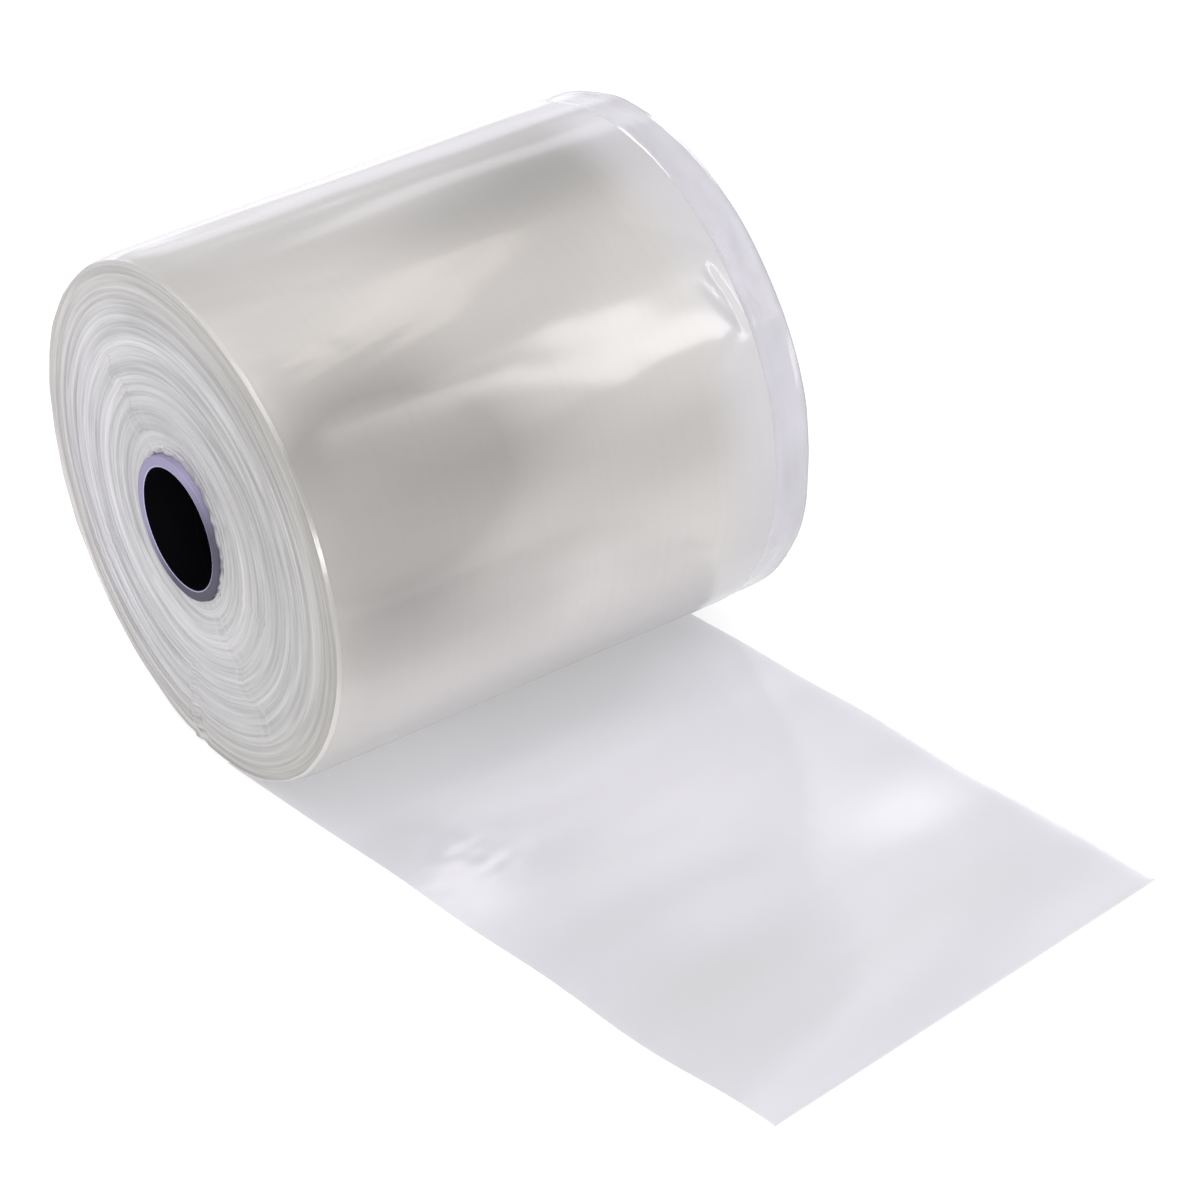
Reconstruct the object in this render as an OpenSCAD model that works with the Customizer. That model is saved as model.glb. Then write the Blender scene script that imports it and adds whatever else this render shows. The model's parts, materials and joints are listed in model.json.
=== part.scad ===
// Roll of clear lay-flat poly tubing, wound on a tube core and lying on its
// side, with its free end run out along the floor. Millimetres. The origin is
// the centre of the core's bore, +Y runs along the core, +Z is up and the free
// end runs off towards +X.

/* [Core] */
// Bore of the core, which takes a roll bar
core_bore_d = 76.2; // [60:0.1:100]
// Wall of the core
core_wall = 7; // [4:0.5:12]
// Length of the core
core_len = 312; // [260:1:330]
// Break along the core's four rim edges
core_break = 0.8; // [0.2:0.1:1.5]
// Gap between the core and the first turn
wind_gap = 0.15; // [0.1:0.05:0.3]

/* [Wound tubing] */
// Diameter over the turns
roll_d = 325; // [260:1:400]
// Lay-flat width of the tubing
web_w = 304.8; // [250:0.1:400]
// Creep of the turns along the core, from the first turn to the outer ones
creep = 5; // [0:0.5:15]
// Ridges that the turns make across each end face
ring_count = 19; // [8:1:24]
// Height of those ridges
ring_h = 1.4; // [0.4:0.1:2.5]
// Thickness of the group of turns that has slipped out at the far end
slip_t = 2.4; // [1.5:0.1:5]
// How far that group has slipped past the turns below it
slip_y = 24; // [4:1:30]
// Depth of the flat spot under the roll
flat_depth = 1; // [0.4:0.1:1.2]

/* [Free end] */
// Length of the free end from the middle of the flat spot
tail_len = 479; // [300:1:600]
// Thickness over both plies of the last turn and the free end
tail_t = 1.6; // [1.4:0.1:3]
// Thickness of one ply
ply_t = 0.5; // [0.3:0.05:0.6]
// Sideways place of the last turn and of the free end where it comes off
tail_y = 3.5; // [-10:0.5:15]
// Angle by which the free end runs askew
tail_skew = 5; // [-6:0.5:8]
// Slant of the cut across its end, longer on the near side
cut_slant = 3.4; // [-6:0.2:8]
// Height of the soft waves in the free end
wave_h = 3; // [0.5:0.5:6]
// Spacing of those waves
wave_len = 150; // [100:5:250]
// Rise of the cut end, where the tubing keeps its curl
curl_h = 5; // [0.5:0.5:12]
// Air left between the plies at the middle of the free end
puff_h = 1.5; // [0:0.5:4]

/* [Hidden] */

roll_r = roll_d / 2;
core_r = core_bore_d / 2 + core_wall;
floor_z = flat_depth - roll_r;

// Radii of the first turn, of the outer turns under the slipped group and of
// the last turn's underside
first_r = core_r + wind_gap;
last_r = roll_r - tail_t;
outer_r = last_r - slip_t;

// Where the free end parts from the roll's round side
nip_x = sqrt(pow(roll_r, 2) - pow(floor_z + tail_t, 2));

// Steps across and along the free end
across_n = 9;
along_n = 26;
ring_pts = 2 * across_n + 4;
along_step = tail_len / along_n;
free_x = nip_x + along_step;
mouth_i = ceil(free_x / along_step);

// Smooth rise from 0 to 1 as t goes from 0 to 1
function ease(t) = let (c = min(1, max(0, t))) c * c * (3 - 2 * c);

// Radius of ridge i, with the ridges a little unevenly spaced
function ring_r(i) =
    let (t = i / ring_count, wander = 0.35 * sin(i * 131) * (i % ring_count == 0 ? 0 : 1))
    first_r + (outer_r - first_r) * (t + wander / ring_count);

// Sideways place of the turns at ridge i: a slow creep and a ridge or groove
function turn_y(i) =
    let (t = i / ring_count, lean = 0.35 + 0.65 * abs(sin(i * 77)))
    creep * (0.4 * t + 0.6 * pow(t, 6)) + (i % 2 == 0 ? 0.5 : -0.5) * ring_h * lean;

// Ridges across one end of the roll. The same turns make both ends, so what
// stands out at one end is hollow at the other.
function ridges(side) = [for (i = [0:ring_count]) [ring_r(i), side * web_w / 2 + turn_y(i)]];

// Near rim: the last turn draws in over the set-back edge of the slipped group
near_rim = [
    [outer_r, tail_y - web_w / 2],
    [outer_r + tail_t, tail_y - web_w / 2],
    [roll_r, creep + slip_y - web_w / 2]
];

// Far rim: the slipped group stands out past the last turn
far_rim = [
    [roll_r, web_w / 2 + tail_y],
    [last_r, web_w / 2 + tail_y],
    [last_r, web_w / 2 + creep + slip_y],
    [outer_r, web_w / 2 + creep + slip_y]
];

function reversed(pts) = [for (i = [len(pts) - 1:-1:0]) pts[i]];

// Height of the free end's underside above the floor, u along it and v across
function wave(u, v) =
    wave_h * ease((u - free_x) / wave_len)
    * pow(sin(180 * (u - free_x) / wave_len + 50 * v / web_w), 2)
    + curl_h * pow(ease((u - tail_len + wave_len) / wave_len), 2) * (1.1 - v / web_w);

// Air between the plies, none at the side folds, the nip and the cut end
function puff(u, v) =
    puff_h * ease((u - free_x) / wave_len) * ease((tail_len - u) / wave_len)
    * (1 - pow(2 * v / web_w, 2));

// Place across the free end of step k, from fold to fold
function across(k) = (web_w - tail_t) / 2 * (2 * k / across_n - 1);

// Heights of its underside and of its top side
function low(u, v) = floor_z + wave(u, v);
function high(u, v) = low(u, v) + tail_t + puff(u, v);

// Ring of points round the flattened tube at u, set in by some wall. The rings
// turn little by little into the slant of the cut.
function tube_ring(u, wall) =
    let (
        fold = web_w / 2 - wall,
        turn = tan(cut_slant) * u / tail_len
    )
    concat(
        [for (k = [0:across_n]) let (v = across(k)) [u - v * turn, v, low(u, v) + wall]],
        [[u - fold * turn, fold, low(u, fold) + tail_t / 2]],
        [for (k = [across_n:-1:0]) let (v = across(k)) [u - v * turn, v, high(u, v) - wall]],
        [[u + fold * turn, -fold, low(u, -fold) + tail_t / 2]]
    );

// Strip of triangles between two rings that start at points a and b
function strip(a, b) = [
    for (k = [0:ring_pts - 1])
        let (n = (k + 1) % ring_pts)
        each [[a + k, b + k, b + n], [a + k, b + n, a + n]]
];

// Place in a ring of the top point that faces bottom point k
function above(k) = 2 * across_n + 2 - k;

// Cross wall that closes a ring, as bars from the bottom to the top
function wall_across(a) = concat(
    [
        for (k = [0:across_n - 1])
            each [[a + k, a + k + 1, a + above(k + 1)], [a + k, a + above(k + 1), a + above(k)]]
    ],
    [
        [a + across_n, a + across_n + 1, a + above(across_n)],
        [a + above(0), a + above(-1), a]
    ]
);

// Free end as one shell: two plies, a fold down each side and an open mouth
module free_end() {
    skin = [for (i = [0:along_n]) each tube_ring(i * along_step, 0)];
    lining = [for (i = [along_n:-1:mouth_i]) each tube_ring(i * along_step, ply_t)];
    rings = along_n + 1 + along_n - mouth_i + 1;
    last = (rings - 1) * ring_pts;
    polyhedron(
        points = concat(skin, lining),
        faces = concat(
            wall_across(0),
            [for (i = [0:rings - 2]) each strip(i * ring_pts, (i + 1) * ring_pts)],
            [for (f = wall_across(last)) reversed(f)]
        )
    );
}

module wound_turns() {
    difference() {
        rotate([-90, 0, 0])
            rotate_extrude($fn = 72)
                polygon(concat(ridges(-1), near_rim, far_rim, reversed(ridges(1))));
        translate([-roll_r, -web_w, floor_z - roll_r])
            cube([2 * roll_r, 2 * web_w, roll_r]);
    }
}

module core() {
    color([0.66, 0.62, 0.77])
        rotate([-90, 0, 0])
            rotate_extrude($fn = 96)
                polygon([
                    [core_bore_d / 2, core_break - core_len / 2],
                    [core_bore_d / 2 + core_break, -core_len / 2],
                    [core_r - core_break, -core_len / 2],
                    [core_r, core_break - core_len / 2],
                    [core_r, core_len / 2 - core_break],
                    [core_r - core_break, core_len / 2],
                    [core_bore_d / 2 + core_break, core_len / 2],
                    [core_bore_d / 2, core_len / 2 - core_break]
                ]);
}

module poly_tubing() {
    color([0.84, 0.83, 0.87]) {
        wound_turns();
        translate([0, tail_y, 0])
            rotate([0, 0, tail_skew])
                free_end();
    }
}

core();
poly_tubing();
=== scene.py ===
import json
import math

import bmesh
import bpy
from bpy.props import FloatProperty, FloatVectorProperty, IntProperty, PointerProperty
from mathutils import Matrix, Vector, noise


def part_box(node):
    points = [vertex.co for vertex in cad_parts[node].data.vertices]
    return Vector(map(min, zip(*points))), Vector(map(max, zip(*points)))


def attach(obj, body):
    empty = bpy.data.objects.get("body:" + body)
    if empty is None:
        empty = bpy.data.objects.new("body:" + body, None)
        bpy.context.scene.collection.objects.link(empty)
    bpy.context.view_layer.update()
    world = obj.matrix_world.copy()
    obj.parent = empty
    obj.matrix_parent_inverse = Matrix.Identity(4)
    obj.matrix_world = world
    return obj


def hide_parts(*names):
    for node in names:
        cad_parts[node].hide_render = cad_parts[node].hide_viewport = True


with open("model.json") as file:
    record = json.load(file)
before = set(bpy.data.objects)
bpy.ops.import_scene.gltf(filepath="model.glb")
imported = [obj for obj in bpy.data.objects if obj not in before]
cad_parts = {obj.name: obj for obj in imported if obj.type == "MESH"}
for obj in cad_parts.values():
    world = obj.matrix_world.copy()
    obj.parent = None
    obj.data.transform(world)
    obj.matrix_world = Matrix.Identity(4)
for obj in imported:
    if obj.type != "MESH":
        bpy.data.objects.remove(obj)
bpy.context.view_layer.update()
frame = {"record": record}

bl_info = {
    "name": "Roll of poly tubing",
    "version": (1, 0, 0),
    "blender": (4, 5, 0),
    "location": "View3D > Sidebar > Tubing roll",
    "description": "Dresses a roll of clear lay-flat tubing with its free end run out on a pale floor",
    "category": "Add Mesh",
}

MM = 0.001

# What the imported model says: the film's box, the core's box and the bore
FILM_LOW, FILM_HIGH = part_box("poly_tubing")
CORE_LOW, CORE_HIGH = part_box("core")
BORE = next(mount for mount in frame["record"]["mounts"] if mount["name"] == "core_bore")
BORE_R = BORE["dims"]["r_mm"] * MM
ROLL_R = FILM_HIGH.z
FLOOR_Z = FILM_LOW.z
CORE_R = CORE_HIGH.z

# Gap between the core and the first turn
WIND_GAP = 0.15 * MM
WHITE = (1.0, 1.0, 1.0)


class RollSizes(bpy.types.PropertyGroup):
    """Sizes of the wound turns"""

    radius: FloatProperty(
        name="Radius",
        description="Radius over the turns",
        default=ROLL_R,
        unit="LENGTH",
    )
    first_radius: FloatProperty(
        name="First turn",
        description="Radius of the first turn on the core",
        default=CORE_R + WIND_GAP,
        unit="LENGTH",
    )
    web: FloatProperty(
        name="Web",
        description="Lay-flat width of the tubing",
        default=304.8 * MM,
        unit="LENGTH",
    )
    creep: FloatProperty(
        name="Creep",
        description="How far the outer turns have crept along the core",
        default=5 * MM,
        unit="LENGTH",
    )
    slip: FloatProperty(
        name="Slip",
        description="How far the slipped group stands past the turns below it",
        default=24 * MM,
        unit="LENGTH",
    )
    slip_group: FloatProperty(
        name="Slipped group",
        description="Thickness of the slipped group of turns",
        default=2.4 * MM,
        unit="LENGTH",
    )
    last_turn: FloatProperty(
        name="Last turn",
        description="Thickness of the last turn over both plies",
        default=1.6 * MM,
        unit="LENGTH",
    )
    tail_place: FloatProperty(
        name="Last turn's place",
        description="Sideways place of the last turn",
        default=3.5 * MM,
        unit="LENGTH",
    )
    ridges: IntProperty(
        name="Ridges", description="Ridges modelled across each end face", default=100, min=8, max=120
    )
    ridge: FloatProperty(
        name="Ridge height", description="Height of those ridges", default=0.7 * MM, unit="LENGTH"
    )
    around: IntProperty(
        name="Steps around", description="Steps round the roll", default=300, min=48, max=360
    )


class FreeEndSizes(bpy.types.PropertyGroup):
    """Sizes of the free end on the floor"""

    length: FloatProperty(
        name="Length",
        description="Length from the flat spot's middle",
        default=479 * MM,
        unit="LENGTH",
    )
    skew: FloatProperty(
        name="Skew",
        description="Angle by which it runs askew",
        default=math.radians(5),
        subtype="ANGLE",
    )
    cut: FloatProperty(
        name="Cut",
        description="Slant of the cut across the end",
        default=math.radians(3.4),
        subtype="ANGLE",
    )
    thickness: FloatProperty(
        name="Thickness", description="Thickness over both plies", default=1.3 * MM, unit="LENGTH"
    )
    ply: FloatProperty(
        name="Ply", description="Thickness of one ply", default=0.2 * MM, unit="LENGTH"
    )
    wave: FloatProperty(
        name="Waves", description="Height of the soft waves", default=3 * MM, unit="LENGTH"
    )
    curl: FloatProperty(
        name="Curl", description="Rise of the cut end", default=4 * MM, unit="LENGTH"
    )
    steps: IntProperty(
        name="Steps", description="Steps along the free end", default=150, min=40, max=300
    )
    around: IntProperty(
        name="Steps across", description="Steps round its section", default=176, min=48, max=320
    )


class CoreSizes(bpy.types.PropertyGroup):
    """Sizes of the paperboard core"""

    radius: FloatProperty(name="Radius", description="Outer radius", default=CORE_R, unit="LENGTH")
    bore: FloatProperty(
        name="Bore", description="Radius of the bore", default=BORE_R, unit="LENGTH"
    )
    length: FloatProperty(
        name="Length", description="Length", default=CORE_HIGH.y - CORE_LOW.y, unit="LENGTH"
    )
    around: IntProperty(
        name="Steps around", description="Steps round the core", default=160, min=48, max=320
    )


class FilmColours(bpy.types.PropertyGroup):
    """Colours of the film and of the core"""

    film: FloatVectorProperty(
        name="Film",
        description="Many turns seen together",
        subtype="COLOR",
        default=(0.48, 0.464, 0.452),
        size=3,
    )
    edges: FloatVectorProperty(
        name="Edges",
        description="The turns' edges at the end faces",
        subtype="COLOR",
        default=(0.55, 0.54, 0.575),
        size=3,
    )
    tail: FloatVectorProperty(
        name="Free end",
        description="Two plies on a pale floor",
        subtype="COLOR",
        default=(0.25, 0.23, 0.38),
        size=3,
    )
    # Also the colour towards which painted light near the roll lifts the free end
    haze: FloatVectorProperty(
        name="Haze",
        description="Free end where it is creased",
        subtype="COLOR",
        default=(0.76, 0.74, 0.9),
        size=3,
    )
    lip: FloatVectorProperty(
        name="Lip",
        description="The few plies that stand out at the far end",
        subtype="COLOR",
        default=(0.41, 0.39, 0.475),
        size=3,
    )
    core: FloatVectorProperty(
        name="Core rim",
        description="Cut rim of the paperboard core",
        subtype="COLOR",
        default=(0.33, 0.303, 0.47),
        size=3,
    )
    # Near-black painted shade for the inside of the core
    bore: FloatVectorProperty(
        name="Core bore",
        description="Dark inside of the core",
        subtype="COLOR",
        default=(0.002, 0.002, 0.003),
        size=3,
    )


def ease(t):
    """Smooth rise from 0 to 1 as t goes from 0 to 1."""
    t = min(1.0, max(0.0, t))
    return t * t * (3 - 2 * t)


def soft_noise(*at):
    """Smooth noise between about -1 and 1 at a point given by up to three numbers."""
    return noise.noise(Vector((*at, 0.0, 0.0)[:3]))


def bell(x, centre, width):
    """Smooth hump of height 1 round a centre."""
    return math.exp(-(((x - centre) / width) ** 2))


def angle_gap(a, b):
    """Signed difference between two angles, from -pi to pi."""
    return math.atan2(math.sin(a - b), math.cos(a - b))


def finish_object(name, mesh, materials, body="root"):
    """Links a finished mesh as a piece that rides on a body, with its material slots."""
    piece = bpy.data.objects.new(name, mesh)
    bpy.context.scene.collection.objects.link(piece)
    for material in materials:
        mesh.materials.append(material)
    for face in mesh.polygons:
        face.use_smooth = True
    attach(piece, body)
    return piece


def spin_profile(bm, points, steps):
    """Spins a closed profile of (radius, y) points round the roll's axis."""
    verts = [bm.verts.new((0.0, y, r)) for r, y in points]
    edges = [bm.edges.new((a, b)) for a, b in zip(verts, verts[1:] + verts[:1])]
    bmesh.ops.spin(
        bm,
        geom=verts + edges,
        cent=(0, 0, 0),
        axis=(0, 1, 0),
        angle=2 * math.pi,
        steps=steps,
        use_merge=True,
        use_duplicate=False,
    )
    bmesh.ops.remove_doubles(bm, verts=bm.verts, dist=0.01 * MM)


# Materials


def shader(name):
    """A new material's node tree with its principled shader."""
    material = bpy.data.materials.new(name)
    material.use_nodes = True
    return material, material.node_tree, material.node_tree.nodes["Principled BSDF"]


def add(tree, kind, **settings):
    """A new node with its settings."""
    node = tree.nodes.new(kind)
    for key, value in settings.items():
        setattr(node, key, value)
    return node


def maths(tree, operation, a, b=None, clamp=False):
    """A Math node fed by sockets or numbers, and its result."""
    node = add(tree, "ShaderNodeMath", operation=operation, use_clamp=clamp)
    for socket, value in zip(node.inputs, (a, b)):
        if value is None:
            continue
        if isinstance(value, bpy.types.NodeSocket):
            tree.links.new(value, socket)
        else:
            socket.default_value = value
    return node.outputs[0]


def times(tree, value, factor):
    """A value times another value or a number."""
    return maths(tree, "MULTIPLY", value, factor)


def object_place(tree):
    """Object coordinates, as one vector."""
    return add(tree, "ShaderNodeTexCoord").outputs["Object"]


def apart(tree, vector):
    """The x, y and z of a vector."""
    split = add(tree, "ShaderNodeSeparateXYZ")
    tree.links.new(vector, split.inputs[0])
    return tuple(split.outputs)


def value_of(tree, name):
    """A value that the mesh carries on its vertices."""
    return add(tree, "ShaderNodeAttribute", attribute_name=name).outputs["Fac"]


def axis_distance(tree, x, z):
    """Distance from the roll's axis."""
    return maths(tree, "SQRT", maths(tree, "ADD", times(tree, x, x), times(tree, z, z)))


def swayed(tree, value, pattern, amount):
    """A value pushed up and down by a pattern that runs from 0 to 1."""
    return maths(tree, "ADD", value, times(tree, maths(tree, "SUBTRACT", pattern, 0.5), amount))


def seen_itself(tree):
    """1 for rays from the camera, off a gloss or through clear film, and 0 for all others."""
    path = add(tree, "ShaderNodeLightPath")
    seen = maths(tree, "MAXIMUM", path.outputs["Is Camera Ray"], path.outputs["Is Glossy Ray"])
    return maths(tree, "MAXIMUM", seen, path.outputs["Is Transmission Ray"])


def joined(tree, x, y, z):
    """A vector of three sockets or numbers."""
    node = add(tree, "ShaderNodeCombineXYZ")
    for socket, value in zip(node.inputs, (x, y, z)):
        if isinstance(value, bpy.types.NodeSocket):
            tree.links.new(value, socket)
        else:
            socket.default_value = value
    return node.outputs[0]


def noise_at(tree, vector, scale, detail=2.0, rough=0.5):
    """Noise between 0 and 1 at a vector."""
    node = add(tree, "ShaderNodeTexNoise")
    tree.links.new(vector, node.inputs["Vector"])
    node.inputs["Scale"].default_value = scale
    node.inputs["Detail"].default_value = detail
    node.inputs["Roughness"].default_value = rough
    return node.outputs["Fac"]


def ramp(tree, factor, *stops):
    """A colour ramp of (place, colour) stops."""
    node = add(tree, "ShaderNodeValToRGB")
    tree.links.new(factor, node.inputs[0])
    elements = node.color_ramp.elements
    while len(elements) < len(stops):
        elements.new(0.5)
    for element, (place, colour) in zip(elements, stops):
        element.position = place
        element.color = (*colour, 1.0)
    return node.outputs["Color"]


def blend_colours(tree, factor, a, b, kind="MIX"):
    """One colour mixed with or multiplied by another."""
    node = add(tree, "ShaderNodeMix", data_type="RGBA", blend_type=kind)
    for socket, value in ((node.inputs[0], factor), (node.inputs[6], a), (node.inputs[7], b)):
        if isinstance(value, bpy.types.NodeSocket):
            tree.links.new(value, socket)
        elif isinstance(value, (int, float)):
            socket.default_value = value
        else:
            socket.default_value = (*value, 1.0)
    return node.outputs[2]


def bump(tree, surface, *layers):
    """Stacks bump layers of (height, depth in metres) onto the shader's normal."""
    normal = None
    for height, depth in layers:
        node = add(tree, "ShaderNodeBump")
        node.inputs["Strength"].default_value = 1.0
        node.inputs["Distance"].default_value = depth
        tree.links.new(height, node.inputs["Height"])
        if normal is not None:
            tree.links.new(normal, node.inputs["Normal"])
        normal = node.outputs["Normal"]
    tree.links.new(normal, surface.inputs["Normal"])


def tinted(colour, gain):
    """A colour made lighter or darker, up to white."""
    return tuple(min(1.0, c * gain) for c in colour)


def film_shader(surface, roughness, coat, coat_roughness):
    """Constants that every film finish shares."""
    surface.inputs["Roughness"].default_value = roughness
    surface.inputs["IOR"].default_value = 1.5
    surface.inputs["Coat Weight"].default_value = coat
    surface.inputs["Coat IOR"].default_value = 1.7
    surface.inputs["Coat Roughness"].default_value = coat_roughness


def body_film(colours):
    """Glossy film over many turns: dark where they lie tight, pale where air lies between them, with
    painted shade and painted reflection of the floor set into the same patches.
    """
    material, tree, surface = shader("film_body")
    x, y, z = apart(tree, object_place(tree))
    clouds = noise_at(tree, joined(tree, x, times(tree, y, 0.6), z), 10.0, detail=1.0)
    streaks = noise_at(tree, joined(tree, 0.0, y, 0.0), 210.0, detail=2.0)
    # Dark end: turns lying tight and painted shade; light end: air between the turns and painted light
    tight = tinted(colours.film, 0.5)
    airy_and_painted_light = tinted(colours.film, 1.34)
    # The air value also carries painted shade and painted reflection of the floor
    air_and_painted_shading = swayed(tree, value_of(tree, "air"), clouds, 0.5)
    tone = ramp(tree, air_and_painted_shading, (0.0, tight), (0.5, colours.film), (1.0, airy_and_painted_light))
    tone = blend_colours(tree, value_of(tree, "side"), colours.edges, tone)
    fine = ramp(tree, streaks, (0.35, (0.985, 0.985, 0.985)), (0.6, WHITE))
    tone = blend_colours(tree, 1.0, tone, fine, "MULTIPLY")
    tree.links.new(tone, surface.inputs["Base Color"])
    film_shader(surface, roughness=0.3, coat=0.8, coat_roughness=0.155)
    bump(tree, surface, (clouds, 1.2 * MM))
    return material


def edge_film(colours):
    """The turns' edges: fine rings that follow each turn, lighter and darker in bands."""
    material, tree, surface = shader("film_edges")
    x, _, z = apart(tree, object_place(tree))
    turn = value_of(tree, "turn")

    # The rings break up slowly along a turn and the bands a little sooner
    drift = 0.02
    rings = noise_at(
        tree, joined(tree, turn, times(tree, x, drift), times(tree, z, drift)), 460.0, rough=0.6
    )
    spread = 0.12
    bands = noise_at(tree, joined(tree, turn, times(tree, x, spread), times(tree, z, spread)), 75.0)
    tone = ramp(
        tree,
        bands,
        (0.32, tinted(colours.edges, 0.84)),
        (0.5, colours.edges),
        (0.68, tinted(colours.edges, 1.14)),
    )

    # Towards the rim the edges take the colour of the side
    warm_from = 0.125
    warm_rise = 36.0
    outward = maths(
        tree, "MULTIPLY", maths(tree, "SUBTRACT", turn, warm_from), warm_rise, clamp=True
    )
    tone = blend_colours(tree, times(tree, outward, 0.85), tone, colours.film)
    fine = ramp(tree, rings, (0.35, (0.76, 0.76, 0.77)), (0.52, WHITE), (0.68, (1.2, 1.2, 1.2)))
    tone = blend_colours(tree, 1.0, tone, fine, "MULTIPLY")

    # Painted shade: darker and greyer towards the side where the free end comes off
    aside = maths(tree, "ADD", times(tree, x, 3.3), 0.5)
    shade = ramp(tree, aside, (0.1, WHITE), (0.8, (0.72, 0.722, 0.69)))
    tone = blend_colours(tree, 1.0, tone, shade, "MULTIPLY")
    tree.links.new(tone, surface.inputs["Base Color"])
    film_shader(surface, roughness=0.3, coat=0.6, coat_roughness=0.12)
    bump(tree, surface, (rings, 0.5 * MM))
    return material


def lip_film(colours):
    """The few plies of the slipped group, clear enough to see through."""
    material, tree, surface = shader("film_lip")
    x, y, z = apart(tree, object_place(tree))
    clouds = noise_at(tree, joined(tree, x, times(tree, y, 3.0), z), 26.0)
    tone = ramp(tree, clouds, (0.3, tinted(colours.lip, 0.85)), (0.7, tinted(colours.lip, 1.15)))
    tree.links.new(tone, surface.inputs["Base Color"])
    surface.inputs["Alpha"].default_value = 0.45
    film_shader(surface, roughness=0.2, coat=0.8, coat_roughness=0.12)
    bump(tree, surface, (clouds, 1.5 * MM))
    return material


def tail_film(colours):
    """Two plies of clear film on the pale floor, hazy where they are creased or stand apart, and painted
    lighter near the roll where its shadow falls.
    """
    material, tree, surface = shader("film_free_end")
    x, y, _ = apart(tree, object_place(tree))
    bands = noise_at(tree, joined(tree, x, times(tree, y, 0.35), 0.0), 11.0)
    # Haze and painted light near the roll both lift the tone towards the creased colour
    haze_and_painted_light = swayed(tree, value_of(tree, "haze"), bands, 0.9)
    clear = tinted(colours.tail, 0.45)
    tone = ramp(tree, haze_and_painted_light, (0.0, clear), (0.4, colours.tail), (1.0, colours.haze))
    tree.links.new(tone, surface.inputs["Base Color"])
    surface.inputs["Alpha"].default_value = 0.12
    film_shader(surface, roughness=0.22, coat=1.0, coat_roughness=0.16)
    bump(tree, surface, (bands, 6.0 * MM))
    return material


def core_board(colours):
    """Rim of wound paperboard: thin rings of ply and a little fibre."""
    material, tree, surface = shader("core_board")
    coords = object_place(tree)
    x, _, z = apart(tree, coords)
    radius = axis_distance(tree, x, z)
    plies = noise_at(tree, joined(tree, radius, 0.0, 0.0), 900.0)
    fibre = noise_at(tree, coords, 900.0, detail=4.0, rough=0.6)
    tone = ramp(tree, plies, (0.35, tinted(colours.core, 0.9)), (0.65, tinted(colours.core, 1.08)))

    # Painted shade: darker towards the lower side that the free end comes off
    aside = maths(tree, "ADD", times(tree, maths(tree, "SUBTRACT", x, z), 9.0), 0.5)
    painted_shade = ramp(tree, aside, (0.25, WHITE), (0.75, (0.14, 0.14, 0.16)))
    tone = blend_colours(tree, 1.0, tone, painted_shade, "MULTIPLY")

    # A paler inner lip round the bore
    lip_width = 0.9 * MM
    lip = maths(tree, "LESS_THAN", radius, BORE_R + lip_width)
    tone = blend_colours(tree, times(tree, lip, 0.6), tone, tinted(colours.core, 2.0))
    fine = ramp(tree, fibre, (0.3, (0.9, 0.9, 0.9)), (0.7, WHITE))
    tone = blend_colours(tree, 1.0, tone, fine, "MULTIPLY")
    tree.links.new(tone, surface.inputs["Base Color"])
    surface.inputs["Roughness"].default_value = 0.6
    bump(tree, surface, (plies, 0.1 * MM), (fibre, 0.06 * MM))
    return material


def core_bore(colours):
    """Inner ply of the core, made near-black as painted shade, with the seam of its spiral winding."""
    material, tree, surface = shader("core_bore")
    coords = object_place(tree)
    x, y, z = apart(tree, coords)
    angle = maths(tree, "ARCTAN2", z, x)
    pitch = 80 * MM
    along = maths(tree, "DIVIDE", y, pitch)
    spiral = maths(tree, "ADD", along, maths(tree, "DIVIDE", angle, 2 * math.pi))
    seam_share = 0.02
    seam = maths(tree, "LESS_THAN", maths(tree, "FRACT", spiral), seam_share)
    # The bore's near-black is painted shade; the board inside is grey
    tone = blend_colours(tree, seam, colours.bore, tinted(colours.bore, 1.6))
    tree.links.new(tone, surface.inputs["Base Color"])
    surface.inputs["Roughness"].default_value = 0.8
    surface.inputs["Specular IOR Level"].default_value = 0.02
    bump(tree, surface, (noise_at(tree, coords, 700.0, detail=3.0), 0.05 * MM))
    return material


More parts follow.
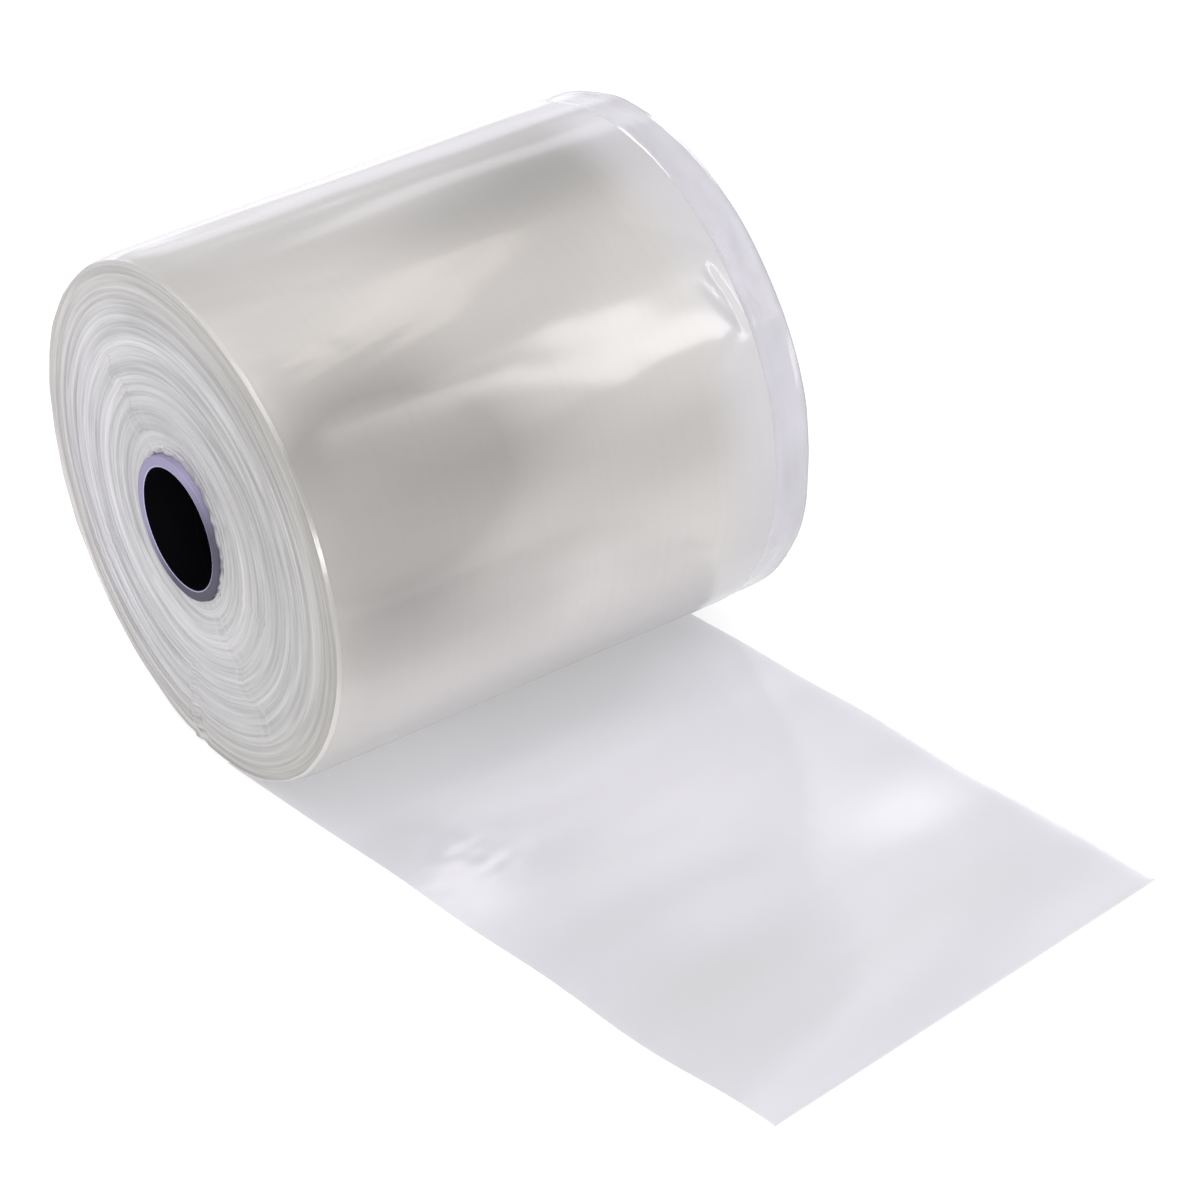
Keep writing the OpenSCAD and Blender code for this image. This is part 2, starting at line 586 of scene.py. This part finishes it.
class TUBING_OT_turns(bpy.types.Operator):
    """Wound turns, from the first turn on the core to the last"""

    bl_idname = "tubing.turns"
    bl_label = "Wound turns"

    # Spokes where the turns' edges are crimped: angle, first and last radius, size
    crimps = (
        (math.radians(128), 50 * MM, 118 * MM, 2.2 * MM),
        (math.radians(-56), 50 * MM, 140 * MM, 1.6 * MM),
        (math.radians(-20), 60 * MM, 100 * MM, 0.9 * MM),
        (math.radians(-150), 90 * MM, 150 * MM, 0.9 * MM),
    )
    # Angle of the ragged fold in the edges of the turns
    fold_angle = math.radians(-97)
    # Creases in the side: angle from the top and sideways place where each starts and ends
    # (degrees, mm), its depth and its half width (mm)
    creases = (
        (12, -136, 19, -60, 0.35, 5.0),
        (21, -140, 15, -10, 0.4, 5.0),
        (37, -138, 27, 20, 0.5, 5.5),
        (42, -120, 34, -20, 0.4, 5.0),
        (30, -140, 33, -90, 0.4, 4.5),
        (-4, -140, -7, -20, 0.35, 8.0),
        (-6, -20, -3, 120, 0.3, 7.0),
        (47, 146, 58, 152, 1.3, 2.0),
        (50, 140, 59, 150, 1.0, 2.2),
        (66, 128, 60, 152, 0.5, 4.0),
        (62, 120, 70, 150, 0.3, 5.0),
        (30, 110, 40, 150, 0.25, 5.0),
        (104, 90, 112, 152, 0.5, 5.0),
        (-58, -130, -49, 20, 0.5, 6.0),
        (-72, 120, -64, -30, 0.5, 6.0),
        (-86, -120, -94, 90, 0.6, 7.0),
        (-108, 140, -101, 10, 0.5, 6.0),
        (-128, -100, -133, 120, 0.5, 7.0),
        (150, -120, 143, 60, 0.4, 6.0),
    )
    # Where the outer turns lie tight or hold air, and where painted shade and painted reflection of the
    # floor are set in: angle from the top, sideways place, the reach of each (degrees, mm), and a
    # weight, below nothing where they lie tight or take painted shade
    patches_with_painted_shading = (
        (66, -105, 22, 85, -1.5),
        (100, -70, 12, 70, -0.25),
        (77, 65, 13, 75, -0.5),
        (1, 110, 15, 70, -0.45),
        (1, -70, 12, 80, -0.35),
        (14, 60, 12, 80, -0.6),
        (24, -70, 9, 55, 0.3),
        (56, 105, 14, 60, 0.3),
        (101, 22, 10, 25, 0.4),
        (108, 110, 20, 90, 0.8),
        (122, -10, 22, 220, 1.2),
        (-62, 60, 20, 70, 0.7),
        (-85, -60, 22, 80, -0.8),
        (-112, 70, 22, 70, -0.5),
        (-130, -50, 24, 90, 0.7),
    )

    def rings(self, sizes, outer):
        """Radius and sideways place of each turn's edge that is modelled across an end face."""
        span = outer - sizes.first_radius
        places = []
        for i in range(sizes.ridges + 1):
            t = i / sizes.ridges
            wander = 0.35 * soft_noise(i * 1.7, 3.1) * (0 < i < sizes.ridges)
            r = sizes.first_radius + span * (t + wander / sizes.ridges)
            drift = sizes.creep * (0.4 * t + 0.6 * t**6)
            lean = 0.15 + 1.6 * abs(soft_noise(i * 0.83, 7.7))
            lift = (0.5 if i % 2 else -0.5) * sizes.ridge * lean
            swell = 1.1 * MM * soft_noise(t * 7.0, 1.3) + 0.6 * MM * soft_noise(t * 19.0, 5.3)
            places.append((r, drift + lift + swell))
        return places

    def near_rim(self, sizes, outer):
        """Edges of the last turns, each drawn in over the one below it, and the shoulder."""
        start = sizes.tail_place - sizes.web / 2
        end = sizes.creep + sizes.slip - sizes.web / 2
        rise = sizes.radius - outer
        plies = 6
        band = 2.6 * MM
        drawn = 0.5
        places = []
        heights = []
        for i in range(plies + 1):
            share = max(0.0, i + 0.35 * soft_noise(i * 1.9, 8.0)) / plies
            places.append(start + band * share**1.3)
            heights.append(outer + drawn * rise * (0.2 + 0.8 * (i / plies) ** 0.7))
        points = []
        for i in range(plies):
            low, high = heights[i], heights[i + 1]
            gap = places[i + 1] - places[i]
            points += [
                (low, places[i]),
                (0.4 * low + 0.6 * high, places[i] + 0.1 * gap),
                (high, places[i] + 0.55 * gap),
            ]
        steps = 9
        for i in range(steps):
            t = i / steps
            shoulder = 1 - (1 - t) ** 2.2
            r = outer + rise * (drawn + (1 - drawn) * shoulder)
            points.append((r, places[-1] + (end - places[-1]) * t))
        return points

    def side(self, sizes):
        """Straight side, with closer steps towards the far end."""
        start = sizes.creep + sizes.slip - sizes.web / 2
        end = sizes.tail_place + sizes.web / 2
        steps = 62
        points = []
        for i in range(1, steps):
            t = i / steps
            points.append((sizes.radius, start + (end - start) * (1.25 * t - 0.25 * t**5)))
        return points

    def far_lip(self, sizes, outer):
        """The slipped group, which stands out past the last turn's edge."""
        half = sizes.web / 2
        edge = half + sizes.tail_place
        tip = half + sizes.creep + sizes.slip
        step = 0.5 * MM
        fall = 0.5 * MM
        points = [(sizes.radius, edge), (sizes.radius - step, edge + 0.6 * MM)]
        outer_steps = 8
        for i in range(1, outer_steps + 1):
            t = i / outer_steps
            points.append((sizes.radius - step - fall * t, edge + (tip - edge) * t))
        inner = sizes.radius - sizes.last_turn - 0.6 * MM
        inner_steps = 3
        for i in range(inner_steps + 1):
            t = i / inner_steps
            reach = tip - (tip - half - sizes.creep) * t
            points.append((inner + (outer - inner) * t**2, reach))
        return points

    def profile(self, sizes, outer):
        """Closed profile of (radius, y): near face, near rim, side, far lip and far face."""
        half = sizes.web / 2
        rings = self.rings(sizes, outer)
        near = [(r, y - half) for r, y in rings]
        far = [(r, y + half) for r, y in reversed(rings)]
        rim = self.near_rim(sizes, outer)
        return near + rim + self.side(sizes) + self.far_lip(sizes, outer) + far

    def fold(self, angle, r):
        """Ragged fold that runs out to the rim, standing out between two hollows."""
        aside = angle_gap(angle, self.fold_angle) * r
        aside += 8 * MM * soft_noise(r * 60, 4.0) + 2.5 * MM * soft_noise(r * 240, 6.0)
        beside = 6 * MM
        hollow = bell(aside, beside, 4 * MM) + 0.5 * bell(aside, -beside, 4 * MM)
        return 1.1 * MM * hollow - 1.3 * MM * bell(aside, 0, 2.2 * MM)

    def shape_face(self, v, sizes, r, angle, t):
        """Ragged, wandering and crimped edges of the turns, t from the first turn to the rim."""
        c, s = math.cos(angle), math.sin(angle)
        held = ease(t * 8) * ease((1 - t) * 10)
        torn = 1 - ease(t * 14)
        push = 0.22 * MM * soft_noise(c * 5.0, s * 5.0, r * 900)
        push += torn * (1.6 - 0.8 * c) * MM * soft_noise(c * 9.0, s * 9.0, r * 500)
        if v.co.y < 0:
            bulge = max(0.0, math.cos(angle + 0.3)) * bell(r, sizes.first_radius, 24 * MM)
            push -= 3.2 * MM * bulge
        push += 0.6 * MM * soft_noise(c * 1.1, s * 1.1, r * 30)
        shift = 0.8 * MM * soft_noise(c * 1.3, s * 1.3, r * 18) * held
        run_out = 14 * MM
        for centre, low, high, size in self.crimps:
            aside = angle_gap(angle, centre + 0.12 * soft_noise(r * 45, centre)) * r
            inside = ease((r - low) / run_out) * ease((high - r) / run_out)
            shift += size * inside * math.exp(-abs(aside) / (7 * MM)) * held
            ripple = math.cos(aside / (1.7 * MM)) * bell(aside, 0, 9 * MM)
            push += 0.35 * size * inside * ripple
        push += self.fold(angle, r) * ease(t * 1.8 - 0.5)
        v.co.x += c * shift
        v.co.z += s * shift
        v.co.y += push

    def air_and_painted_shading_at(self, y, angle):
        """How much air the outer turns hold, from 0 to 1, with painted shade and painted light set in by
        the patches.
        """
        from_top = math.pi / 2 - angle
        air = 0.5 + 0.35 * soft_noise(math.cos(angle) * 1.7, math.sin(angle) * 1.7, y * 5)
        for centre, place, reach, width, weight in self.patches_with_painted_shading:
            aside = angle_gap(from_top, math.radians(centre)) / math.radians(reach)
            air += 0.5 * weight * bell(aside, 0, 1) * bell(y, place * MM, width * MM)
        return min(1.0, max(0.0, air))

    def crease_depth(self, y, angle, radius):
        """Depth of the creases at a place on the side."""
        from_top = math.pi / 2 - angle
        past = 0.2
        near_enough = 200 * MM
        depth = 0.0
        for a0, y0, a1, y1, deep, wide in self.creases:
            a0, a1 = math.radians(a0), math.radians(a1)
            run = Vector(((a1 - a0) * radius, (y1 - y0) * MM))
            here = Vector((angle_gap(from_top, a0) * radius, y - y0 * MM))
            t = here.dot(run) / run.length_squared
            if -past < t < 1 + past and abs(here.x) < near_enough:
                wobble = 0.6 * wide * MM * soft_noise(t * 4, a0 * 9)
                aside = (here - t * run).length * math.copysign(1, here.cross(run)) - wobble
                fade = ease(min(t + past, 1 + past - t) * 4)
                depth += deep * MM * bell(aside, 0, wide * MM) * fade
        return depth

    def dents(self, y, angle, near, far):
        """Soft dents in the side: broad ones all round, finer ones where the film lies loose."""
        c, s = math.cos(angle), math.sin(angle)
        dent = 0.9 * MM * soft_noise(c * 2.6, s * 2.6, y * 4)
        dent += 0.42 * MM * soft_noise(c * 7.0, s * 7.0, y * 9)
        loose = 0.35 + bell(y, near + 50 * MM, 60 * MM) + 0.45 * bell(y, far, 30 * MM)
        loose += 1.6 * bell(y, near + 8 * MM, 12 * MM)
        dent += 0.09 * MM * loose * soft_noise(c * 21.0, s * 21.0, y * 16)
        slack_angle = math.radians(58)
        slack = bell(y, 70 * MM, 85 * MM)
        slack *= bell(angle_gap(math.pi / 2 - angle, slack_angle), 0, 0.4)
        dent += 0.8 * MM * slack * soft_noise(c * 7.0, s * 7.0, y * 24)
        lip_run = 40 * MM
        if y > far - lip_run:
            dent += 0.5 * MM * ease((y - far + lip_run) / lip_run) * soft_noise(c * 5.0, s * 5.0, 9.0)
        behind = ease((-c - 0.1) * 3)
        return dent + 0.35 * MM * behind * soft_noise(c * 9.0, s * 9.0, y * 14 + 3)

    def shape_side(self, v, y, angle, radius, near, far):
        """Dents and creases in the side, a wavy far lip and a ragged near rim."""
        c, s = math.cos(angle), math.sin(angle)
        dent = self.dents(y, angle, near, far) - self.crease_depth(y, angle, radius)
        v.co.x += c * dent
        v.co.z += s * dent
        if y > far + 2 * MM:
            v.co.y += 1.4 * MM * soft_noise(c * 2.5, s * 2.5, 2.0)
        rim_run = 30 * MM
        if y < near + rim_run:
            fade = ease((near + rim_run - y) / (12 * MM))
            ragged = 0.9 * MM * soft_noise(c * 2.0, s * 2.0, y * 90)
            ragged += 0.25 * MM * soft_noise(c * 9, s * 9, y * 300)
            v.co.y += self.fold(angle, radius) * ease((near + 16 * MM - y) / (14 * MM))
            v.co.y += fade * ragged

    def choose_finishes(self, bm, outer, lip_from):
        """Gives the faces their finish: the side's, the turns' edges' or the clear lip's."""
        for face in bm.faces:
            centre = face.calc_center_median()
            if math.hypot(centre.x, centre.z) < outer + 0.4 * MM:
                face.material_index = 1
            elif centre.y > lip_from:
                face.material_index = 2

    def execute(self, context):
        sizes = context.scene.tubing_roll
        colours = context.scene.tubing_colours
        outer = sizes.radius - sizes.last_turn - sizes.slip_group
        span = outer - sizes.first_radius
        near, far = -sizes.web / 2, sizes.web / 2
        bm = bmesh.new()
        spin_profile(bm, self.profile(sizes, outer), sizes.around)
        self.choose_finishes(bm, outer, far + sizes.tail_place)
        turn = bm.verts.layers.float.new("turn")
        air = bm.verts.layers.float.new("air")
        side = bm.verts.layers.float.new("side")
        for v in bm.verts:
            x, y, z = v.co
            r = math.hypot(x, z)
            angle = math.atan2(z, x)
            v[turn] = r
            # The air value carries painted shade and painted light besides the air between the turns
            v[air] = self.air_and_painted_shading_at(y, angle)
            v[side] = ease((y - near) / (5 * MM)) - 0.85 * ease((y - far) / (45 * MM) + 1)
            if r < outer + 0.1 * MM:
                self.shape_face(v, sizes, r, angle, (r - sizes.first_radius) / span)
            else:
                self.shape_side(v, y, angle, sizes.radius, near, far)
            v.co.z = max(v.co.z, FLOOR_Z + 0.1 * MM)
        bmesh.ops.recalc_face_normals(bm, faces=bm.faces)
        mesh = bpy.data.meshes.new("wound_turns")
        bm.to_mesh(mesh)
        bm.free()
        finishes = [body_film(colours), edge_film(colours), lip_film(colours)]
        piece = finish_object("wound_turns", mesh, finishes)
        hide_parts("poly_tubing")
        return {"FINISHED"}


class TUBING_OT_free_end(bpy.types.Operator):
    """Free end: the flattened tube on the floor, two plies with an open mouth"""

    bl_idname = "tubing.free_end"
    bl_label = "Free end"

    # Where the free end begins to leave the floor
    free_from = 45 * MM
    # Hazy and clear patches, some of them painted light near the roll where its shadow falls: place
    # along and across the free end, their reach (mm), and a weight, below nothing where they are clear
    patches_with_painted_shading = (
        (200, -132, 34, 30, 0.6),
        (325, 105, 26, 40, 0.55),
        (240, 20, 70, 70, 0.2),
        (60, 60, 30, 60, -0.2),
        (55, -100, 40, 80, 0.35),
        (200, -20, 70, 130, 0.22),
        (135, -130, 30, 30, -0.3),
        (360, -90, 26, 60, -0.45),
        (285, -110, 50, 50, -0.3),
        (400, 60, 60, 120, -0.15),
        (120, 110, 40, 40, 0.25),
    )

    def haze_and_painted_light_at(self, u, v):
        """How hazy the film is, from 0 to 1, with painted light near the roll where its shadow falls."""
        haze = 0.42 + 0.12 * soft_noise(u * 25, v * 9, 3.0)
        for along, across, reach, width, weight in self.patches_with_painted_shading:
            haze += weight * bell(u, along * MM, reach * MM) * bell(v, across * MM, width * MM)
        crinkle = bell(u, 178 * MM, 26 * MM) * bell(v, -112 * MM, 30 * MM)
        haze += 0.9 * crinkle * soft_noise(u * 130, v * 60, 6.0)
        return min(1.0, max(0.0, haze))

    def height(self, sizes, u, v, web):
        """Height of the underside above the floor, u along the free end and v across it."""
        run = 150 * MM
        rise = ease((u - self.free_from) / run)
        swell = math.sin(math.pi * (u - self.free_from) / run + 0.9 * v / web) ** 2
        soft = 0.5 + 0.5 * soft_noise(u * 11, v * 3.5, 2.0)
        end = ease((u - sizes.length + run) / run) ** 2
        crinkle = bell(u, 175 * MM, 30 * MM) * bell(v, -105 * MM, 35 * MM)
        fine = 0.7 * MM * crinkle * (1 + soft_noise(u * 110, v * 40, 6.0))
        waves = sizes.wave * rise * (0.6 * swell + 0.5 * soft)
        return waves + sizes.curl * end * (1.0 - v / web) + fine

    def air(self, sizes, u, v, web):
        """Air between the plies, with a few soft creases across the free end."""
        inside = ease((u - self.free_from) / (120 * MM)) * ease((sizes.length - u) / (60 * MM))
        lens = 1 - (2 * v / web) ** 2
        puff = 1.2 * MM * (0.6 + 0.6 * soft_noise(u * 14, v * 8, 5.0))
        fine = 0.35 * MM * soft_noise(u * 60, v * 12, 8.0)
        return inside * max(0.0, lens) * (puff + fine)

    def execute(self, context):
        sizes = context.scene.tubing_free_end
        roll = context.scene.tubing_roll
        colours = context.scene.tubing_colours
        web = roll.web
        bm = bmesh.new()
        bmesh.ops.create_cone(
            bm,
            cap_ends=False,
            segments=sizes.around,
            radius1=1.0,
            radius2=1.0,
            depth=1.0,
            matrix=Matrix.Rotation(math.pi / 2, 4, "Y"),
        )
        lengthwise = [e for e in bm.edges if abs(e.verts[0].co.x - e.verts[1].co.x) > 0.5]
        bmesh.ops.subdivide_edges(bm, edges=lengthwise, cuts=sizes.steps - 1, use_grid_fill=True)
        turn = Matrix.Translation((0, roll.tail_place, 0)) @ Matrix.Rotation(sizes.skew, 4, "Z")
        half = sizes.thickness / 2
        haze = bm.verts.layers.float.new("haze")

        # How far the steps crowd towards the side folds, and how tightly those are pressed
        crowding = 0.75
        pressed = 60
        for v in bm.verts:
            share = v.co.x + 0.5
            angle = math.atan2(v.co.z, v.co.y)
            u = share * sizes.length
            cross = math.copysign(abs(math.cos(angle)) ** crowding, math.cos(angle)) * web / 2
            edge = max(0.0, 1 - abs(2 * cross / web) ** pressed) ** 0.5
            # The haze value also carries painted light near the roll, where its shadow falls
            v[haze] = self.haze_and_painted_light_at(u, cross)
            lift = self.height(sizes, u, cross, web) + half
            if math.sin(angle) > 0:
                lift += half * edge + self.air(sizes, u, cross, web)
            else:
                lift -= half * edge
            slant = math.tan(sizes.cut) * share
            v.co = turn @ Vector((u - cross * slant, cross, FLOOR_Z + lift))
        bmesh.ops.recalc_face_normals(bm, faces=bm.faces)
        mesh = bpy.data.meshes.new("free_end")
        bm.to_mesh(mesh)
        bm.free()
        piece = finish_object("free_end", mesh, [tail_film(colours)])
        wall = piece.modifiers.new("ply", "SOLIDIFY")
        wall.thickness = sizes.ply
        wall.offset = -1.0
        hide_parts("poly_tubing")
        return {"FINISHED"}


class TUBING_OT_core(bpy.types.Operator):
    """Paperboard core, its bore made near-black as painted shade"""

    bl_idname = "tubing.core"
    bl_label = "Core"

    def execute(self, context):
        sizes = context.scene.tubing_core
        colours = context.scene.tubing_colours
        bm = bmesh.new()
        half = sizes.length / 2
        lip = 0.8 * MM
        points = [
            (sizes.bore, lip - half),
            (sizes.bore + 0.25 * lip, 0.25 * lip - half),
            (sizes.bore + lip, -half),
        ]
        rings = 6
        groove = 0.12 * MM
        for i in range(1, rings):
            r = sizes.bore + lip + (sizes.radius - sizes.bore - 2 * lip) * i / rings
            points.append((r, -half + groove * (i % 2)))
        points += [
            (sizes.radius - lip, -half),
            (sizes.radius - 0.25 * lip, 0.25 * lip - half),
            (sizes.radius, lip - half),
        ]
        points += [(r, -y) for r, y in reversed(points)]
        spin_profile(bm, points, sizes.around)
        for face in bm.faces:
            centre = face.calc_center_median()
            inner = math.hypot(centre.x, centre.z) < sizes.bore + 0.1 * MM
            face.material_index = 1 if inner else 0
        for v in bm.verts:
            angle = math.atan2(v.co.z, v.co.x)
            c, s = math.cos(angle), math.sin(angle)
            if abs(v.co.y) > half - 2 * lip:
                v.co.y += 0.3 * MM * soft_noise(c * 1.5, s * 1.5, v.co.y * 10)
        bmesh.ops.recalc_face_normals(bm, faces=bm.faces)
        mesh = bpy.data.meshes.new("paper_core")
        bm.to_mesh(mesh)
        bm.free()
        piece = finish_object("paper_core", mesh, [core_board(colours), core_bore(colours)])
        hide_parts("core")
        return {"FINISHED"}


class TUBING_OT_stage(bpy.types.Operator):
    """Camera, soft studio light and a plain pale floor"""

    bl_idname = "tubing.stage"
    bl_label = "Stage"

    # The camera's place: angles round the roll, distance and the point that it looks at
    azimuth = math.radians(56.787)
    elevation = math.radians(32.378)
    roll = math.radians(3.687)
    distance = 2.6945
    aim_right = 0.11762
    aim_up = -0.09505
    lens = 135.75

    # Lamps: name, place, the point that each is turned to, size, power in watts and colour
    lamps = (
        ("overhead", (0.9, -0.9, 2.2), (0, 0, 0), (1.6, 1.6), 24, (1.0, 0.99, 0.98)),
        ("low", (2.1, -1.35, 0.1), (0.1, 0, -0.1), (1.8, 0.45), 40, (1.0, 0.985, 0.97)),
        ("window", (0.15, 1.005, 2.2), (0.05, -0.05, 0.1), (1.1, 0.17), 1.45, (1.0, 0.85, 0.76)),
        ("side", (1.7, 1.17, 1.25), (0.12, 0.1, 0.1), (0.28, 1.0), 4.0, (1.0, 0.97, 0.95)),
        ("back", (-1.25, 1.02, 1.1), (0.2, 0, -0.1), (0.55, 0.35), 0.9, (0.92, 0.9, 1.0)),
        ("horizon", (-2.0, 1.0, 0.45), (0, 0, 0.1), (0.9, 0.5), 1.0, (0.82, 0.8, 1.0)),
        ("rear", (-1.6, -1.9, 1.3), (0, 0, 0), (0.35, 1.2), 5, (1.0, 0.99, 0.98)),
        ("fill", (-1.3, 2.3, 0.9), (0, 0, 0), (1.1, 1.1), 16, (0.97, 0.97, 1.0)),
        ("edge", (-1.25, 0.62, -0.05), (0, 0, 0.1), (0.9, 0.16), 0.35, (0.82, 0.8, 1.0)),
        ("front", (0.1, -2.3, 0.15), (0, -0.15, 0), (0.7, 0.6), 4.0, (0.95, 0.94, 1.0)),
    )

    # The floor's radius, its grey and how brightly it is seen
    floor_r = 14.0
    floor_grey = 0.45
    floor_glow = 0.73
    # How strongly the world lights the object
    ambient = 0.5

    def camera(self, scene):
        """Camera at the photograph's place and angle."""
        a, e = self.azimuth, self.elevation
        back = Vector((math.sin(a) * math.cos(e), -math.cos(a) * math.cos(e), math.sin(e)))
        right = Vector((math.cos(a), math.sin(a), 0))
        up = back.cross(right)
        tilt = Matrix.Rotation(-self.roll, 3, back)
        right, up = tilt @ right, tilt @ up
        place = self.aim_right * right + self.aim_up * up + self.distance * back
        data = bpy.data.cameras.new("camera")
        data.sensor_width = 36
        data.lens = self.lens
        data.clip_end = 50
        camera = bpy.data.objects.new("camera", data)
        scene.collection.objects.link(camera)
        turn = Matrix((right, up, back)).transposed()
        camera.matrix_world = Matrix.Translation(place) @ turn.to_4x4()
        scene.camera = camera

    def lamp(self, scene, name, place, aim, size, power, colour):
        """A soft rectangular lamp that the camera doesn't see."""
        data = bpy.data.lights.new(name, "AREA")
        data.shape = "RECTANGLE"
        data.size, data.size_y = size
        data.energy = power
        data.color = colour
        lamp = bpy.data.objects.new(name, data)
        scene.collection.objects.link(lamp)
        direction = Vector(aim) - Vector(place)
        lamp.visible_camera = False
        lamp.location = place
        lamp.rotation_mode = "QUATERNION"
        lamp.rotation_quaternion = direction.to_track_quat("-Z", "Y")

    def floor(self):
        """Plain floor, seen pale, that keeps the object's shadow."""
        bm = bmesh.new()
        bmesh.ops.create_circle(bm, cap_ends=True, segments=96, radius=self.floor_r)
        bmesh.ops.translate(bm, verts=bm.verts, vec=(0, 0, FLOOR_Z - 0.2 * MM))
        mesh = bpy.data.meshes.new("floor")
        bm.to_mesh(mesh)
        bm.free()
        floor = bpy.data.objects.new("floor", mesh)
        bpy.context.scene.collection.objects.link(floor)
        material, tree, surface = shader("pale_floor")
        surface.inputs["Base Color"].default_value = (*[self.floor_grey] * 3, 1)
        surface.inputs["Roughness"].default_value = 0.9
        surface.inputs["Specular IOR Level"].default_value = 0.0
        surface.inputs["Emission Color"].default_value = (*WHITE, 1)
        glow = times(tree, seen_itself(tree), self.floor_glow)
        tree.links.new(glow, surface.inputs["Emission Strength"])
        mesh.materials.append(material)

    def world(self, scene):
        """White world that is seen at full strength and lights the object at less."""
        world = bpy.data.worlds.new("studio")
        world.use_nodes = True
        tree = world.node_tree
        background = tree.nodes["Background"]
        extra = times(tree, seen_itself(tree), 1 - self.ambient)
        strength = maths(tree, "ADD", extra, self.ambient)
        background.inputs["Color"].default_value = (*WHITE, 1)
        tree.links.new(strength, background.inputs["Strength"])
        scene.world = world

    def execute(self, context):
        scene = context.scene
        scene.view_settings.view_transform = "Standard"
        self.camera(scene)
        self.floor()
        self.world(scene)
        for lamp in self.lamps:
            self.lamp(scene, *lamp)
        return {"FINISHED"}


class TUBING_PT_panel(bpy.types.Panel):
    """Sizes, colours and steps of the roll"""

    bl_idname = "TUBING_PT_panel"
    bl_label = "Tubing roll"
    bl_space_type = "VIEW_3D"
    bl_region_type = "UI"
    bl_category = "Tubing roll"

    def draw(self, context):
        scene = context.scene
        for group in (scene.tubing_roll, scene.tubing_free_end, scene.tubing_core, scene.tubing_colours):
            box = self.layout.box()
            for name in group.bl_rna.properties.keys():
                if name not in ("rna_type", "name"):
                    box.prop(group, name)
        for step in STEPS:
            self.layout.operator(step.bl_idname)


STEPS = (TUBING_OT_stage, TUBING_OT_core, TUBING_OT_turns, TUBING_OT_free_end)
CLASSES = (RollSizes, FreeEndSizes, CoreSizes, FilmColours, *STEPS, TUBING_PT_panel)


def register():
    for cls in CLASSES:
        bpy.utils.register_class(cls)
    bpy.types.Scene.tubing_roll = PointerProperty(type=RollSizes)
    bpy.types.Scene.tubing_free_end = PointerProperty(type=FreeEndSizes)
    bpy.types.Scene.tubing_core = PointerProperty(type=CoreSizes)
    bpy.types.Scene.tubing_colours = PointerProperty(type=FilmColours)


def unregister():
    for name in ("tubing_roll", "tubing_free_end", "tubing_core", "tubing_colours"):
        delattr(bpy.types.Scene, name)
    for cls in reversed(CLASSES):
        bpy.utils.unregister_class(cls)


def main():
    """Builds the stage and the pieces."""
    register()
    bpy.ops.tubing.stage()
    bpy.ops.tubing.core()
    bpy.ops.tubing.turns()
    bpy.ops.tubing.free_end()


if __name__ == "__main__":
    main()
